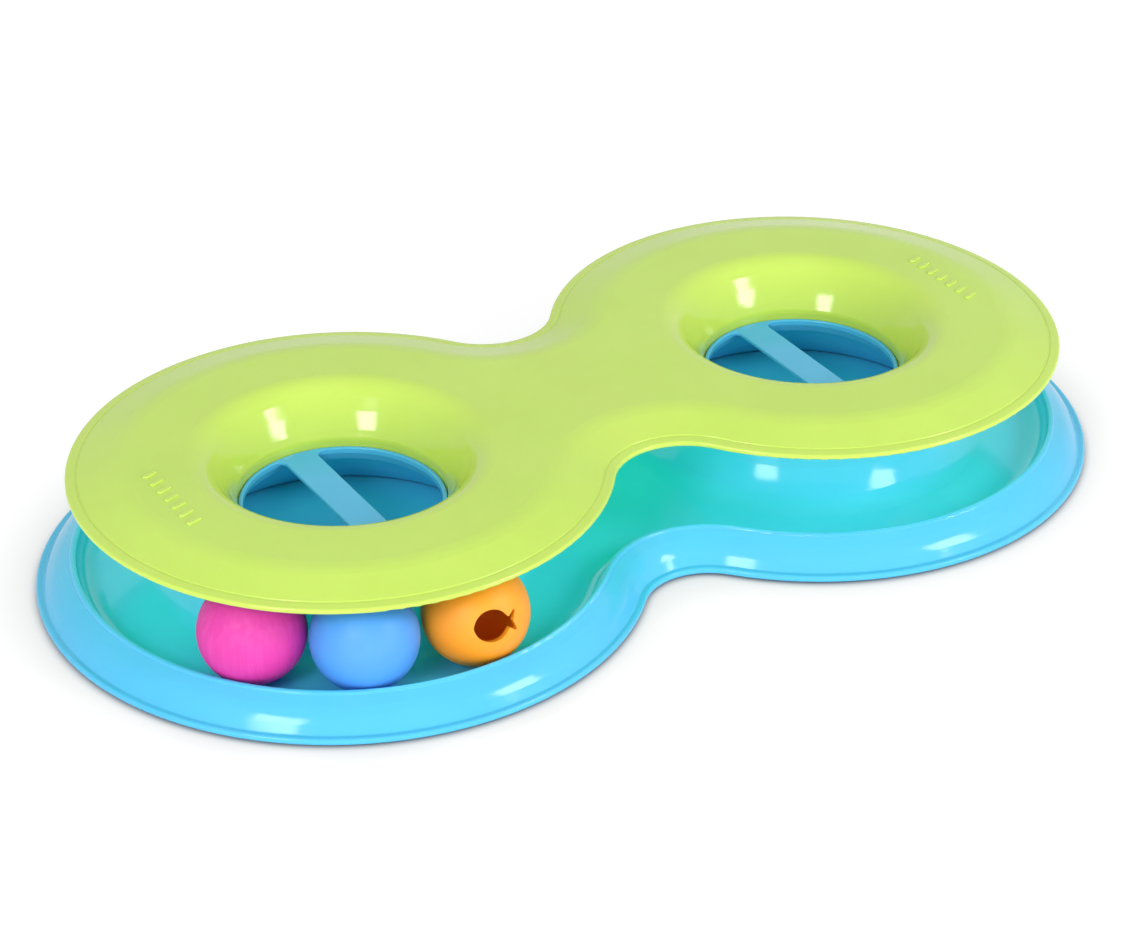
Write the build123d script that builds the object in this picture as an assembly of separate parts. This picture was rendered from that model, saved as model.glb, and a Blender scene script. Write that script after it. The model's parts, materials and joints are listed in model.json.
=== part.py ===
from build123d import *
import math
import os

# Cat ball track toy: a figure-eight tray with two hubs, a floor disc under each hub, a figure-eight cover
# that drops over the hubs, three balls that run in the track and eight rubber feet.
# Lengths are in millimetres and angles in degrees. The origin is on the table, midway between the hubs.
# X runs from the left hub to the right one and Z is up.

# Plan of the toy
lobe_spacing = 200.0
table_height = 0.0
cut_overrun = 1.0

# Tray
tray_waist_angle = 42.4
tray_wall = 2.4
tray_lift = 0.8
brim_width = 2.5
brim_dip = 0.1
brim_bend = 0.5
rim_spread = 14.9
rim_bow = 1.5
rim_bow_bend = 15.5
lip_height = 13.75
lip_crease_drop = 1.2
channel_bend = 9.0
floor_flat_width = 2.5
edge_round_share = 0.42
lip_round_share = 0.49
rim_seat_share = 0.2

# Hub
hub_slope = 62.0
hub_hip_rise = 7.8
hub_hip_bend = 40.0
hub_foot_slope = 47.0
hub_foot_bend = 12.0
hub_foot_flat = 2.5
shoulder_height = 27.6
shoulder_width = 11.0
shoulder_bend = 3.0
spigot_radius = 37.6
spigot_rise = 2.9
hub_ring_thickness = 2.0
hub_ring_width = 1.7
hub_top_round = 0.5
bar_width = 13.0
bar_thickness = 1.2
bar_fillet = 3.0
hub_floor_thickness = 2.0
hub_floor_clearance = 0.2

# Cover
cover_waist_angle = 36.4
cover_overhang = 1.8
cover_wall = 2.1
cover_headroom = 7.4
cover_crown = 4.8
cover_brim_width = 4.0
cover_brim_climb = 0.6
cover_brim_bend = 0.6
brim_groove_radius = 0.6
brim_groove_depth = 0.3
cover_flat_inset = 19.5
cover_flat_bend = 25.0
cover_flat_run = 7.0

# Well in each lobe of the cover
collar_clearance = 0.3
collar_rise = 5.7
collar_bend = 4.0
well_throat_rise = 6.2
well_throat_slope = 62.0
well_throat_bend = 45.0
well_slope = 52.5
well_lip_bend = 11.5
well_flat_width = 4.0

# Grip ribs on the outer end of each lobe of the cover
rib_count = 7
rib_pitch = 6.0
rib_length = 6.6
rib_width = 2.4
rib_height = 0.6
rib_round = 0.4
rib_lean = 20.0
rib_row_gap = 6.6

# Balls
ball_radius = 19.0
ball_floor_gap = 0.3
ball_hub_offset = 9.08
ball_lip_clearance = 0.63
pink_ball_angle = -140.8
pink_blue_gap = 0.76
blue_orange_gap = 2.62
ball_shell_wall = 2.2
ball_tongue_height = 1.6
ball_tongue_share = 0.5
ball_tongue_clearance = 0.1

# Treat hole in the orange ball, a fish
treat_hole_azimuth = -94.7
treat_hole_rise = 15.6
fish_body_length = 13.0
fish_body_height = 11.6
fish_tail_length = 6.4
fish_tail_height = 9.4
fish_tail_notch = 2.0
fish_tail_overlap = 3.0
fish_corner = 0.5

# Feet
foot_radius = 6.0
foot_pocket_depth = 0.4
foot_clearance = 0.15
foot_edge_round = 0.3
foot_angles = {"inner": 45.0, "outer": 135.0}

# Hub sizes that follow from the values above
half_spacing = lobe_spacing / 2
floor_height = tray_lift + tray_wall
shoulder_radius = spigot_radius + shoulder_width
hub_hip_height = floor_height + hub_hip_rise
hub_hip_radius = shoulder_radius + (shoulder_height - hub_hip_height) / math.tan(math.radians(hub_slope))
hub_corner_radius = hub_hip_radius + hub_hip_rise / math.tan(math.radians(hub_foot_slope))
hub_foot_room = hub_hip_rise / math.sin(math.radians(hub_foot_slope)) / 2
hub_foot_round = min(hub_foot_bend, hub_foot_room / math.tan(math.radians(hub_foot_slope / 2)))
hub_foot_radius = hub_corner_radius + hub_foot_round * math.tan(math.radians(hub_foot_slope / 2))
hub_plate_top = shoulder_height + spigot_rise
hole_radius = spigot_radius - hub_ring_width
collar_radius = spigot_radius + collar_clearance

# The balls roll beside the hub's foot, and the lip stands clear of them
ball_height = floor_height + ball_floor_gap + ball_radius
ball_orbit_radius = hub_foot_radius + ball_hub_offset
ball_lip_reach = math.sqrt(ball_radius**2 - (ball_height - lip_height) ** 2)
lip_inner_radius = ball_orbit_radius + ball_lip_reach + ball_lip_clearance
lip_outer_radius = lip_inner_radius + tray_wall
channel_floor_radius = lip_inner_radius - channel_bend
track_middle_radius = (hub_foot_radius + channel_floor_radius) / 2

# Outlines of the tray and the cover
tray_radius = lip_inner_radius + rim_spread
tray_waist_radius = half_spacing / math.cos(math.radians(tray_waist_angle)) - tray_radius
cover_radius = lip_inner_radius + cover_overhang
cover_waist_radius = half_spacing / math.cos(math.radians(cover_waist_angle)) - cover_radius
cover_top_height = ball_height + ball_radius + cover_headroom + cover_wall
cover_edge_height = cover_top_height - cover_crown
cover_plate_inset = cover_flat_inset + cover_flat_run


def polar(radius, angle):
    """Point at a distance and an angle from the axis it turns about."""
    turned = math.radians(angle)
    return radius * math.cos(turned), radius * math.sin(turned)


def waist_centre(radius, waist_radius):
    """Distance of a waist arc's centre from the long axis, for arcs that run smoothly into both lobes."""
    return math.sqrt((radius + waist_radius) ** 2 - half_spacing**2)


def waist_angle(radius, waist_radius):
    """Angle at a lobe's centre between the other lobe and the point where the waist arc starts."""
    return math.degrees(math.atan2(waist_centre(radius, waist_radius), half_spacing))


def figure_eight(radius, waist_radius):
    """Face inside two round lobes that are joined by two hollow waist arcs."""
    away = waist_centre(radius, waist_radius)
    start = waist_angle(radius, waist_radius)
    side = Pos(half_spacing, 0) * CenterArc((0, 0), radius, start - 180, 360 - 2 * start)
    neck = Pos(0, away) * CenterArc((0, 0), waist_radius, start - 180, 180 - 2 * start)
    turned = Rot(0, 0, 180)
    return make_face([*side.edges(), *neck.edges(), *(turned * side).edges(), *(turned * neck).edges()])


def fitted_bends(runs, bends, start_round, end_round):
    """Bend radii of a path's corners, each limited by the straight runs beside it.

    A run between two bends is shared by both, and an end run gives up its end's round.
    """
    rooms = [run.length / 2 for run in runs]
    rooms[0] = runs[0].length - start_round
    rooms[-1] = runs[-1].length - end_round
    fitted = []
    for index, bend in enumerate(bends):
        half_turn = math.radians(runs[index].get_angle(runs[index + 1]) / 2)
        room = min(rooms[index], rooms[index + 1])
        fitted.append(min(bend, room / math.tan(half_turn)))
    return fitted


def shell_section(path, bends, wall, start_round, end_round):
    """Closed section of an even wall on the left of a path of (radius, height) points.

    bends holds the radius of each corner along the path, measured on the path itself.
    """
    points = [Vector(*point) for point in path]
    runs = [following - point for point, following in zip(points, points[1:])]
    sides = [Vector(-run.Y, run.X).normalized() for run in runs]
    near_bends = fitted_bends(runs, bends, start_round, end_round)
    far = [points[0] + sides[0] * wall]
    far_bends = []
    for corner, before, after, bend in zip(points[1:], sides, sides[1:], near_bends):
        far.append(corner + (before + after) * (wall / (1 + before.dot(after))))
        turns_to_wall = before.cross(after).Z > 0
        far_bends.append(max(bend - wall, 0) if turns_to_wall else bend + wall)
    far.append(points[-1] + sides[-1] * wall)
    outline = points + far[::-1]
    radii = [start_round, *near_bends, end_round, end_round, *far_bends[::-1], start_round]
    return make_face(FilletPolyline(*outline, radius=radii, close=True))


def around_outline(section, radius, waist_radius):
    """Solid made by carrying a section all round a figure-eight outline."""
    reach = radius + waist_radius
    start = waist_angle(radius, waist_radius)
    upright = Plane.XZ * section
    facing = mirror(upright, about=Plane.YZ.offset(reach / 2))
    lobe = revolve(upright, Axis.Z, 360 - 2 * start)
    waist = revolve(facing, Axis.Z, 180 - 2 * start)
    side = Pos(half_spacing, 0, 0) * Rot(0, 0, start - 180) * lobe
    neck = Pos(0, waist_centre(radius, waist_radius), 0) * Rot(0, 0, start - 180) * waist
    turned = Rot(0, 0, 180)
    return side + neck + turned * side + turned * neck


def on_both_lobes(piece):
    """A piece made about one hub's axis, placed on both hubs, mirrored end for end."""
    right = Pos(half_spacing, 0, 0) * piece
    return right + Rot(0, 0, 180) * right


def raised(face, low, high):
    """Upright solid between two heights."""
    return Pos(0, 0, low) * extrude(face, high - low)


def plate_outline(radius, waist_radius, inset):
    """Figure-eight face that lies evenly inside another by an inset."""
    return figure_eight(radius - inset, waist_radius + inset)


def make_hub():
    """Hub about its own axis: swept skin, shoulder, spigot, and a ring with a bar across it."""
    ring_bottom = hub_plate_top - hub_ring_thickness
    bar_bottom = hub_plate_top - bar_thickness
    skin_path = [
        (hub_foot_radius + hub_foot_flat, floor_height),
        (hub_corner_radius, floor_height),
        (hub_hip_radius, hub_hip_height),
        (shoulder_radius, shoulder_height),
        (spigot_radius, shoulder_height),
    ]
    skin = shell_section(skin_path, [hub_foot_round, hub_hip_bend, shoulder_bend], tray_wall, 0, 0)
    spigot_points = [
        (hole_radius, ring_bottom),
        (spigot_radius, ring_bottom),
        (spigot_radius, shoulder_height - tray_wall),
    ]
    spigot = make_face(Polyline(*spigot_points, close=True))
    holes = Circle(hole_radius) - Rectangle(bar_width, 2 * spigot_radius)
    holes = fillet(holes.vertices(), bar_fillet)
    plate = raised(Circle(spigot_radius) - holes, ring_bottom, hub_plate_top)
    plate = fillet(plate.edges().group_by(Axis.Z)[-1], hub_top_round)
    plate -= raised(Circle(hole_radius), ring_bottom - cut_overrun, bar_bottom)
    return revolve(Plane.XZ * (skin + spigot), Axis.Z) + plate


def make_hub_floors():
    """Disc for the underside of each hub, with its upper edge just clear of the skin's inside."""
    under_round = hub_foot_round + tray_wall
    climb = math.sqrt(under_round**2 - (under_round - hub_floor_thickness) ** 2)
    edge_radius = hub_foot_radius - climb - hub_floor_clearance
    disc = raised(Circle(edge_radius), tray_lift, tray_lift + hub_floor_thickness)
    senses = {"left": -1, "right": 1}
    return {f"hub_floor_{lobe}": Pos(sense * half_spacing, 0, 0) * disc for lobe, sense in senses.items()}


def foot_places():
    """Name and position of every foot under the flat of the track floor."""
    places = {}
    for lobe, sense in {"left": 1, "right": -1}.items():
        for end, angle in foot_angles.items():
            x, y = polar(track_middle_radius, angle)
            along = sense * (x - half_spacing)
            places[f"foot_{lobe}_back_{end}"] = (along, y)
            places[f"foot_{lobe}_front_{end}"] = (along, -y)
    return places


def make_tray():
    """Blue tray: rim, lip, track channel and the two hubs in one moulding."""
    crease_radius = tray_radius - brim_width
    crease_height = floor_height - brim_dip
    lip_crease = lip_height - lip_crease_drop
    slope = Vector(lip_outer_radius - crease_radius, lip_crease - crease_height)
    outward = Vector(slope.Y, -slope.X).normalized()
    middle = Vector(crease_radius, crease_height) + slope / 2 + outward * rim_bow
    seat = Vector(lip_outer_radius, lip_crease) + slope.normalized() * (rim_seat_share * tray_wall)
    rim_path = [
        (tray_radius, floor_height),
        (crease_radius, crease_height),
        (middle.X, middle.Y),
        (seat.X, seat.Y),
    ]
    rim = shell_section(rim_path, [brim_bend, rim_bow_bend], tray_wall, edge_round_share * tray_wall, 0)
    floor_radius = channel_floor_radius - floor_flat_width
    wall_path = [
        (lip_inner_radius, lip_height),
        (lip_inner_radius, floor_height),
        (floor_radius, floor_height),
    ]
    wall = shell_section(wall_path, [channel_bend], tray_wall, lip_round_share * tray_wall, 0)
    floor_face = plate_outline(tray_radius, tray_waist_radius, tray_radius - floor_radius)
    floor_face -= on_both_lobes(Circle(hub_foot_radius + hub_foot_flat))
    tray = around_outline(rim + wall, tray_radius, tray_waist_radius)
    tray += raised(floor_face, tray_lift, floor_height)
    tray += on_both_lobes(make_hub())
    pocket_face = Circle(foot_radius + foot_clearance)
    pocket = raised(pocket_face, tray_lift - cut_overrun, tray_lift + foot_pocket_depth)
    for x, y in foot_places().values():
        tray -= Pos(x, y, 0) * pocket
    return tray


def make_well():
    """Funnel and collar of one well, about its hub's axis."""
    collar_top = shoulder_height + collar_rise
    throat_height = collar_top + well_throat_rise
    throat_radius = collar_radius + well_throat_rise / math.tan(math.radians(well_throat_slope))
    lip_radius = throat_radius + (cover_top_height - throat_height) / math.tan(math.radians(well_slope))
    flat_radius = lip_radius + well_lip_bend * math.tan(math.radians(well_slope / 2)) + well_flat_width
    path = [
        (flat_radius, cover_top_height),
        (lip_radius, cover_top_height),
        (throat_radius, throat_height),
        (collar_radius, collar_top),
        (collar_radius, shoulder_height),
    ]
    section = shell_section(path, [well_lip_bend, well_throat_bend, collar_bend], cover_wall, 0, 0)
    return revolve(Plane.XZ * section, Axis.Z), flat_radius


def make_ribs():
    """Row of leaning grip ribs, centred on its own middle and standing on the cover's top."""
    root_height = cover_top_height - cover_wall / 2
    rib = raised(SlotOverall(rib_length, rib_width), root_height, cover_top_height + rib_height)
    rib = fillet(rib.edges().group_by(Axis.Z)[-1], rib_round)
    leaning = Rot(0, 0, rib_lean) * rib
    half_row = (rib_count - 1) / 2
    return [Pos(0, (index - half_row) * rib_pitch, 0) * leaning for index in range(rib_count)]


def make_cover():
    """Green cover: brim with a groove, sloping band, flat top, two wells and the grip ribs."""
    crease_radius = cover_radius - cover_brim_width
    crease_height = cover_edge_height + cover_brim_climb
    flat_radius = cover_radius - cover_flat_inset
    plate_radius = cover_radius - cover_plate_inset
    band_path = [
        (cover_radius, cover_edge_height),
        (crease_radius, crease_height),
        (flat_radius, cover_top_height),
        (plate_radius, cover_top_height),
    ]
    edge_round = edge_round_share * cover_wall
    band = shell_section(band_path, [cover_brim_bend, cover_flat_bend], cover_wall, edge_round, 0)
    groove_height = crease_height + brim_groove_radius - brim_groove_depth
    band -= Pos(crease_radius, groove_height) * Circle(brim_groove_radius)
    well, well_radius = make_well()
    top_face = plate_outline(cover_radius, cover_waist_radius, cover_plate_inset)
    top_face -= on_both_lobes(Circle(well_radius))
    cover = around_outline(band, cover_radius, cover_waist_radius)
    cover += raised(top_face, cover_top_height - cover_wall, cover_top_height)
    cover += on_both_lobes(well)
    for rib in make_ribs():
        cover += on_both_lobes(Pos(well_radius + rib_row_gap, 0, 0) * rib)
    return cover


def ball_step(gap):
    """Angle between two neighbouring balls on the track that have a gap between them."""
    return 2 * math.degrees(math.asin((ball_radius + gap / 2) / ball_orbit_radius))


def ball_place(angle):
    """Centre of a ball that stands in the left lobe's track."""
    x, y = polar(ball_orbit_radius, angle)
    return Vector(x - half_spacing, y, ball_height)


def half_shells():
    """Two halves of a hollow ball about its own centre: one with a tongue, above, and one with a rebate."""
    inside = ball_radius - ball_shell_wall
    whole = Sphere(ball_radius) - Sphere(inside)
    above = raised(Rectangle(2 * ball_radius, 2 * ball_radius), 0, ball_radius)
    upper = whole & above
    lower = whole - above
    tongue_radius = inside + ball_tongue_share * ball_shell_wall
    tongue = raised(Circle(tongue_radius) - Circle(inside), -ball_tongue_height, 0)
    rebate_depth = ball_tongue_height + ball_tongue_clearance
    rebate = raised(Circle(tongue_radius + ball_tongue_clearance), -rebate_depth, cut_overrun)
    return upper + tongue, lower - rebate


def fish_face():
    """Plain fish: a lens for the body and a notched tail."""
    half_length = fish_body_length / 2
    half_height = fish_body_height / 2
    back = ThreePointArc((-half_length, 0), (0, half_height), (half_length, 0))
    belly = ThreePointArc((half_length, 0), (0, -half_height), (-half_length, 0))
    tail_start = half_length - fish_tail_overlap
    tail_end = tail_start + fish_tail_length
    tail_points = [
        (tail_start, 0),
        (tail_end, fish_tail_height / 2),
        (tail_end - fish_tail_notch, 0),
        (tail_end, -fish_tail_height / 2),
    ]
    fish = make_face([back, belly]) + make_face(Polyline(*tail_points, close=True))
    fish = fillet(fish.vertices(), fish_corner)
    return Pos(half_length - (tail_end + half_length) / 2, 0) * fish


def make_balls():
    """Every node of the three balls, in place."""
    upper, lower = half_shells()
    blue_ball_angle = pink_ball_angle + ball_step(pink_blue_gap)
    orange_ball_angle = blue_ball_angle + ball_step(blue_orange_gap)
    blue_place = Pos(*ball_place(blue_ball_angle))
    across = polar(1, treat_hole_azimuth + 90)
    level = polar(math.cos(math.radians(treat_hole_rise)), treat_hole_azimuth)
    facing = Vector(*level, math.sin(math.radians(treat_hole_rise)))
    orange_plane = Plane(ball_place(orange_ball_angle), x_dir=Vector(*across, 0), z_dir=facing)
    treat_hole = raised(fish_face(), 0, ball_radius + cut_overrun)
    return {
        "pink_ball": Pos(*ball_place(pink_ball_angle)) * Sphere(ball_radius),
        "blue_ball_upper_shell": blue_place * upper,
        "blue_ball_lower_shell": blue_place * lower,
        "orange_ball_front_shell": orange_plane * (upper - treat_hole),
        "orange_ball_rear_shell": orange_plane * lower,
    }


def make_feet():
    """One rubber pad for each pocket under the tray."""
    pad = raised(Circle(foot_radius), table_height, tray_lift + foot_pocket_depth)
    pad = fillet(pad.edges().group_by(Axis.Z)[0], foot_edge_round)
    return {name: Pos(x, y, 0) * pad for name, (x, y) in foot_places().items()}


def main():
    os.makedirs("parts", exist_ok=True)
    nodes = {
        "base_tray": make_tray(),
        **make_hub_floors(),
        "top_cover": make_cover(),
        **make_balls(),
        **make_feet(),
    }
    for name, node in nodes.items():
        export_step(node, f"parts/{name}.step")


main()
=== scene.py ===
import json
import math

import bpy
from mathutils import Matrix, Vector

# Looks of a cat ball track toy around its fixed frame.
# Lengths are in metres and angles in degrees. The toy stands on the floor at height zero.

# Camera, as it stood for the photograph
image_width_px = 1132
focal_length_px = 3163.457
sensor_width_mm = 36.0
camera_azimuth = -31.213
camera_elevation = 30.469
camera_roll = 0.411
camera_distance = 1.217818
camera_target = Vector((0.007401, 0.022694, 0.0))

# Light
fill_azimuth = -112.0
fill_strength = 3.4
fill_fall = 2.0
surround_strength = 0.5
softbox_distance = 1.6
softbox_side = 0.42
softbox_power = 7.0
softbox_directions = {"softbox_right": (-53.5, 32.0), "softbox_left": (-147.0, 34.0)}
light_target = Vector((0.0, 0.0, 0.03))
floor_side = 8.0
floor_white = 0.9
shown_floor_white = 0.35
shown_floor_glow = 0.76
# Painted contact shadow on the floor: ambient occlusion within this reach, raised to this power, darkens
# the floor's glow
contact_shadow_reach = 0.03
contact_shadow_depth = 1.8
contact_shadow_samples = 16
seep_strength = 1.55
seep_colour = (0.0, 1.0, 0.52, 1.0)
seep_rings = ((0.055, 0.092, 0.0432), (0.04, 0.046, 0.0245))
seep_corners = 48
seep_slots = ("blue_gloss_plastic", "green_gloss_plastic")
hub_offset = 0.1

# Noise in the finishes: scales are in cells per metre, bumps are (strength, depth)
noise_roughness = 0.55
noise_low = 0.3
noise_high = 0.7

# Glossy plastic
gloss_cloud_scale = 24.0
gloss_patch_scale = 260.0
gloss_roughness = (0.09, 0.14)
gloss_wave_scale = 60.0
gloss_wave_bump = (0.05, 0.0004)
gloss_skin_scale = 1500.0
gloss_skin_bump = (0.03, 0.0001)

# Satin plastic
satin_cloud_scale = 90.0
satin_patch_scale = 500.0
satin_roughness = (0.42, 0.54)
satin_skin_scale = 2200.0
satin_skin_bump = (0.12, 0.00008)

# Dyed wood, whose grain is drawn out upright
streak_stretch = (520.0, 520.0, 26.0)
grain_line_stretch = (260.0, 260.0, 60.0)
grain_line_start = 0.70
grain_line_full = 0.80
grain_line_share = 0.6
wood_roughness = (0.48, 0.62)
streak_bump = (0.10, 0.0002)

# Rubber
rubber_cloud_scale = 300.0
rubber_patch_scale = 900.0
rubber_roughness = (0.7, 0.85)
rubber_skin_scale = 3000.0
rubber_skin_bump = (0.3, 0.0001)


def linear(red, green, blue):
    """Shader colour of a display colour given in steps of 0 to 255."""
    shares = [step / 255 for step in (red, green, blue)]
    return (*[s / 12.92 if s <= 0.04045 else ((s + 0.055) / 1.055) ** 2.4 for s in shares], 1.0)


def add_node(tree, kind, settings=None, **values):
    """New shader node with its settings and the values of its named inputs."""
    node = tree.nodes.new(kind)
    for name, value in (settings or {}).items():
        setattr(node, name, value)
    for name, value in values.items():
        node.inputs[name.replace("_", " ")].default_value = value
    return node


def feed(tree, slot, value):
    """Gives an input its value, or links it where the value is another node's output."""
    if isinstance(value, bpy.types.NodeSocket):
        tree.links.new(value, slot)
    else:
        slot.default_value = value


def new_material(name):
    """Material with a principled shader, its node tree and the object coordinates."""
    material = bpy.data.materials.new(name)
    material.use_nodes = True
    tree = material.node_tree
    shader = tree.nodes["Principled BSDF"]
    place = tree.nodes.new("ShaderNodeTexCoord").outputs["Object"]
    return material, tree, shader, place


def noise(tree, place, scale, detail=3.0, stretch=None):
    """Noise in cells per metre, drawn out along an axis where a stretch is given."""
    if stretch:
        mapping = add_node(tree, "ShaderNodeMapping", Scale=stretch)
        tree.links.new(place, mapping.inputs["Vector"])
        place = mapping.outputs["Vector"]
    texture = add_node(tree, "ShaderNodeTexNoise", Scale=scale, Detail=detail, Roughness=noise_roughness)
    tree.links.new(place, texture.inputs["Vector"])
    return texture.outputs["Fac"]


def spread(tree, value, low, high):
    """A noise value brought into a range."""
    limits = {"From_Min": noise_low, "From_Max": noise_high, "To_Min": low, "To_Max": high}
    ranged = add_node(tree, "ShaderNodeMapRange", **limits)
    tree.links.new(value, ranged.inputs["Value"])
    return ranged.outputs["Result"]


def mixed(tree, share, first, second):
    """Colour between two colours, by a share."""
    mix = add_node(tree, "ShaderNodeMix", {"data_type": "RGBA"})
    feed(tree, mix.inputs[0], share)
    feed(tree, mix.inputs[6], first)
    feed(tree, mix.inputs[7], second)
    return mix.outputs[2]


def bumps(tree, shader, layers):
    """Bump layers, each a height with its (strength, depth), laid one over the other on a shader."""
    normal = None
    for height, (strength, depth) in layers:
        bump = add_node(tree, "ShaderNodeBump", Strength=strength, Distance=depth)
        tree.links.new(height, bump.inputs["Height"])
        if normal:
            tree.links.new(normal, bump.inputs["Normal"])
        normal = bump.outputs["Normal"]
    tree.links.new(normal, shader.inputs["Normal"])


def let_light_in(shader, glow, glow_depth):
    """Lets a share of the light spread inside the material to a depth for each colour."""
    shader.inputs["Subsurface Weight"].default_value = glow
    shader.inputs["Subsurface Radius"].default_value = glow_depth
    shader.inputs["Subsurface Scale"].default_value = 1.0


def gloss_plastic(name, colour, deep_colour, shine, glow, glow_depth):
    """Glossy moulded plastic: cloudy colour, faint flow waves, a fine skin and light that seeps through."""
    material, tree, shader, place = new_material(name)
    shader.inputs["Specular IOR Level"].default_value = shine
    let_light_in(shader, glow, glow_depth)
    cloud = spread(tree, noise(tree, place, gloss_cloud_scale), 0.0, 1.0)
    tree.links.new(mixed(tree, cloud, colour, deep_colour), shader.inputs["Base Color"])
    gloss = spread(tree, noise(tree, place, gloss_patch_scale), *gloss_roughness)
    tree.links.new(gloss, shader.inputs["Roughness"])
    wave = noise(tree, place, gloss_wave_scale, 1.0)
    skin = noise(tree, place, gloss_skin_scale, 2.0)
    bumps(tree, shader, [(wave, gloss_wave_bump), (skin, gloss_skin_bump)])
    return material


def satin_plastic(name, colour, deep_colour, glow, glow_depth):
    """Satin moulded plastic of the hollow balls."""
    material, tree, shader, place = new_material(name)
    let_light_in(shader, glow, glow_depth)
    cloud = spread(tree, noise(tree, place, satin_cloud_scale), 0.0, 1.0)
    tree.links.new(mixed(tree, cloud, colour, deep_colour), shader.inputs["Base Color"])
    gloss = spread(tree, noise(tree, place, satin_patch_scale), *satin_roughness)
    tree.links.new(gloss, shader.inputs["Roughness"])
    bumps(tree, shader, [(noise(tree, place, satin_skin_scale, 2.0), satin_skin_bump)])
    return material


def dyed_wood(name, colour, deep_colour, line_colour):
    """Dyed wood: upright grain streaks and a few dark grain lines."""
    material, tree, shader, place = new_material(name)
    streak = spread(tree, noise(tree, place, 1.0, 4.0, streak_stretch), 0.0, 1.0)
    base = mixed(tree, streak, colour, deep_colour)
    line = noise(tree, place, 1.0, 2.0, grain_line_stretch)
    limits = {"From_Min": grain_line_start, "From_Max": grain_line_full, "To_Max": grain_line_share}
    lined = add_node(tree, "ShaderNodeMapRange", To_Min=0.0, **limits)
    tree.links.new(line, lined.inputs["Value"])
    grained = mixed(tree, lined.outputs["Result"], base, line_colour)
    tree.links.new(grained, shader.inputs["Base Color"])
    tree.links.new(spread(tree, streak, *wood_roughness), shader.inputs["Roughness"])
    bumps(tree, shader, [(streak, streak_bump)])
    return material


def rubber(name, colour, deep_colour):
    """Matt rubber of the feet."""
    material, tree, shader, place = new_material(name)
    cloud = spread(tree, noise(tree, place, rubber_cloud_scale), 0.0, 1.0)
    tree.links.new(mixed(tree, cloud, colour, deep_colour), shader.inputs["Base Color"])
    gloss = spread(tree, noise(tree, place, rubber_patch_scale), *rubber_roughness)
    tree.links.new(gloss, shader.inputs["Roughness"])
    bumps(tree, shader, [(noise(tree, place, rubber_skin_scale), rubber_skin_bump)])
    return material


def make_materials():
    """Every material slot of the toy."""
    return {
        "blue_gloss_plastic": gloss_plastic(
            "blue_gloss", linear(86, 190, 233), linear(80, 186, 230), 0.32, 0.2, (0.001, 0.002, 0.0025)
        ),
        "green_gloss_plastic": gloss_plastic(
            "green_gloss", linear(196, 223, 95), linear(192, 220, 89), 0.5, 0.3, (0.002, 0.003, 0.001)
        ),
        "pink_dyed_wood": dyed_wood(
            "pink_wood", linear(224, 60, 168), linear(218, 52, 160), linear(160, 26, 112)
        ),
        "blue_satin_plastic": satin_plastic(
            "blue_satin", linear(80, 158, 242), linear(75, 154, 239), 0.2, (0.0005, 0.001, 0.002)
        ),
        "orange_satin_plastic": satin_plastic(
            "orange_satin", linear(255, 162, 32), linear(254, 156, 28), 0.15, (0.004, 0.002, 0.0006)
        ),
        "grey_rubber": rubber("grey_rubber", linear(78, 80, 83), linear(66, 68, 71)),
    }


def dress(frame, materials):
    """Puts each node's finish on it."""
    for subpart in frame["record"]["subparts"]:
        node = frame["nodes"][subpart["node"]]
        for slot in node.material_slots:
            slot.material = materials[subpart["material_slot"]]


def direction(azimuth, elevation):
    """Unit vector from the toy, with the azimuth counted from +X."""
    turned = math.radians(azimuth)
    raised = math.radians(elevation)
    level = math.cos(raised)
    return Vector((level * math.cos(turned), level * math.sin(turned), math.sin(raised)))


def add_camera():
    """Camera at the photograph's viewpoint."""
    back = direction(camera_azimuth - 90, camera_elevation)
    right = Vector((math.cos(math.radians(camera_azimuth)), math.sin(math.radians(camera_azimuth)), 0.0))
    axes = Matrix((right, back.cross(right), back)).transposed()
    roll = Matrix.Rotation(math.radians(camera_roll), 3, "Z")
    data = bpy.data.cameras.new("camera")
    data.sensor_width = sensor_width_mm
    data.lens = sensor_width_mm * focal_length_px / image_width_px
    camera = bpy.data.objects.new("camera", data)
    place = camera_target + back * camera_distance
    camera.matrix_world = Matrix.Translation(place) @ (axes @ roll).to_4x4()
    bpy.context.collection.objects.link(camera)
    bpy.context.scene.camera = camera


def add_softboxes():
    """Square softboxes that face the toy."""
    for name, (azimuth, elevation) in softbox_directions.items():
        toward = direction(azimuth, elevation)
        data = bpy.data.lights.new(name, "AREA")
        data.shape = "SQUARE"
        data.size = softbox_side
        data.energy = softbox_power
        lamp = bpy.data.objects.new(name, data)
        lamp.location = light_target + toward * softbox_distance
        lamp.rotation_mode = "QUATERNION"
        lamp.rotation_quaternion = toward.to_track_quat("Z", "Y")
        bpy.context.collection.objects.link(lamp)


def computed(tree, operation, first, second):
    """Result of a sum on two values, each a socket or a number."""
    step = add_node(tree, "ShaderNodeMath", {"operation": operation})
    feed(tree, step.inputs[0], first)
    feed(tree, step.inputs[1], second)
    return step.outputs["Value"]


def seen_directly(tree):
    """One for rays that show the surroundings: from the camera, off gloss or through glass."""
    path = tree.nodes.new("ShaderNodeLightPath")
    seen = computed(tree, "MAXIMUM", path.outputs["Is Camera Ray"], path.outputs["Is Glossy Ray"])
    return computed(tree, "MAXIMUM", seen, path.outputs["Is Transmission Ray"])


def between(tree, share, first, second):
    """Value between two values, by a share."""
    mix = add_node(tree, "ShaderNodeMix", {"data_type": "FLOAT"})
    feed(tree, mix.inputs[0], share)
    feed(tree, mix.inputs[2], first)
    feed(tree, mix.inputs[3], second)
    return mix.outputs[0]


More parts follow.
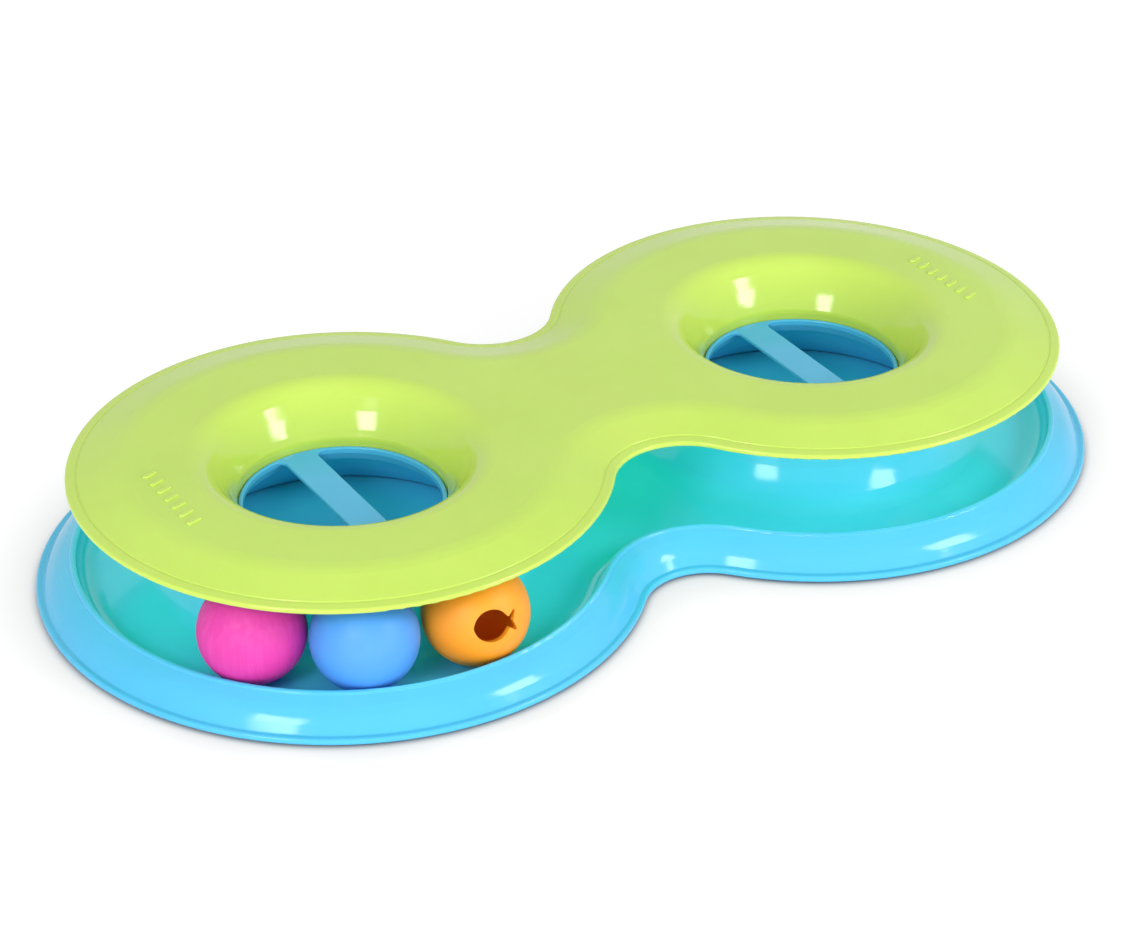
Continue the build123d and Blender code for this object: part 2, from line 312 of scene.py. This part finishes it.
def add_surroundings():
    """White surroundings that light the toy evenly, and more strongly low down in front."""
    world = bpy.data.worlds.new("surroundings")
    world.use_nodes = True
    tree = world.node_tree
    background = tree.nodes["Background"]
    background.inputs["Color"].default_value = (1.0, 1.0, 1.0, 1.0)
    toward = tree.nodes.new("ShaderNodeTexCoord").outputs["Generated"]
    facing = add_node(tree, "ShaderNodeVectorMath", {"operation": "DOT_PRODUCT"})
    feed(tree, facing.inputs[0], toward)
    feed(tree, facing.inputs[1], direction(fill_azimuth, 0.0))
    axes = tree.nodes.new("ShaderNodeSeparateXYZ")
    tree.links.new(toward, axes.inputs["Vector"])
    height = axes.outputs["Z"]
    front = computed(tree, "MAXIMUM", facing.outputs["Value"], 0.0)
    low_down = computed(tree, "POWER", computed(tree, "SUBTRACT", 1.0, height), fill_fall)
    fill = computed(tree, "MULTIPLY", computed(tree, "MULTIPLY", front, low_down), fill_strength)
    light = computed(tree, "ADD", fill, surround_strength)
    tree.links.new(between(tree, seen_directly(tree), light, 1.0), background.inputs["Strength"])
    bpy.context.scene.world = world


def add_floor():
    """Pale floor that keeps the toy's shadow, plus a painted contact shadow: ambient occlusion darkens its
    glow near the toy.
    """
    half = floor_side / 2
    corners = [(-half, -half, 0.0), (half, -half, 0.0), (half, half, 0.0), (-half, half, 0.0)]
    mesh = bpy.data.meshes.new("floor")
    mesh.from_pydata(corners, [], [(0, 1, 2, 3)])
    floor = bpy.data.objects.new("floor", mesh)
    bpy.context.collection.objects.link(floor)
    material, tree, shader, _ = new_material("floor_white")
    shown = seen_directly(tree)
    whites = [(white, white, white, 1.0) for white in (floor_white, shown_floor_white)]
    tree.links.new(mixed(tree, shown, *whites), shader.inputs["Base Color"])
    shader.inputs["Roughness"].default_value = 1.0
    shader.inputs["Specular IOR Level"].default_value = 0.0
    shader.inputs["Emission Color"].default_value = (1.0, 1.0, 1.0, 1.0)
    settings = {"samples": contact_shadow_samples}
    # Painted contact shadow: the glow seen on the floor is darkened by ambient occlusion near the toy
    contact = add_node(tree, "ShaderNodeAmbientOcclusion", settings, Distance=contact_shadow_reach)
    painted_contact_shadow = computed(tree, "POWER", contact.outputs["AO"], contact_shadow_depth)
    glow = computed(tree, "MULTIPLY", computed(tree, "MULTIPLY", shown, painted_contact_shadow), shown_floor_glow)
    tree.links.new(glow, shader.inputs["Emission Strength"])
    mesh.materials.append(material)


def add_seeping_light(frame):
    """Light that comes through the mouldings into track and hubs: unseen rings that light only them."""
    turns = [2 * math.pi * index / seep_corners for index in range(seep_corners)]
    corners = []
    faces = []
    for middle in (-hub_offset, hub_offset):
        for inner, outer, height in seep_rings:
            first = len(corners)
            for index, turn in enumerate(turns):
                across, along = math.cos(turn), math.sin(turn)
                corners += [(middle + radius * across, radius * along, height) for radius in (inner, outer)]
                near = first + 2 * index
                far = first + 2 * ((index + 1) % seep_corners)
                faces.append((near, near + 1, far + 1, far))
    mesh = bpy.data.meshes.new("seeping_light")
    mesh.from_pydata(corners, [], faces)
    rings = bpy.data.objects.new("seeping_light", mesh)
    bpy.context.collection.objects.link(rings)
    rings.visible_camera = False
    rings.visible_glossy = False
    rings.visible_shadow = False
    lit = bpy.data.collections.new("lit_by_seeping_light")
    for subpart in frame["record"]["subparts"]:
        if subpart["material_slot"] in seep_slots:
            lit.objects.link(frame["nodes"][subpart["node"]])
    rings.light_linking.receiver_collection = lit
    material, tree, shader, _ = new_material("seeping_light")
    shader.inputs["Base Color"].default_value = (0.0, 0.0, 0.0, 1.0)
    shader.inputs["Specular IOR Level"].default_value = 0.0
    shader.inputs["Emission Color"].default_value = seep_colour
    shader.inputs["Emission Strength"].default_value = seep_strength
    mesh.materials.append(material)


with open("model.json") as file:
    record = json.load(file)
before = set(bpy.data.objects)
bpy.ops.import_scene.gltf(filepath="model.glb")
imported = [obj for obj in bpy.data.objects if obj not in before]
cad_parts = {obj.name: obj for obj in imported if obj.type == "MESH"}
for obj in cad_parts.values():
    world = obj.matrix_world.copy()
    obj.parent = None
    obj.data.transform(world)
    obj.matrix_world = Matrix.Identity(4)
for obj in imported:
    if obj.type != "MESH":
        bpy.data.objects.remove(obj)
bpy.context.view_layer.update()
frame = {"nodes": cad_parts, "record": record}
bpy.context.scene.view_settings.view_transform = "Standard"
dress(frame, make_materials())
add_camera()
add_softboxes()
add_surroundings()
add_floor()
add_seeping_light(frame)
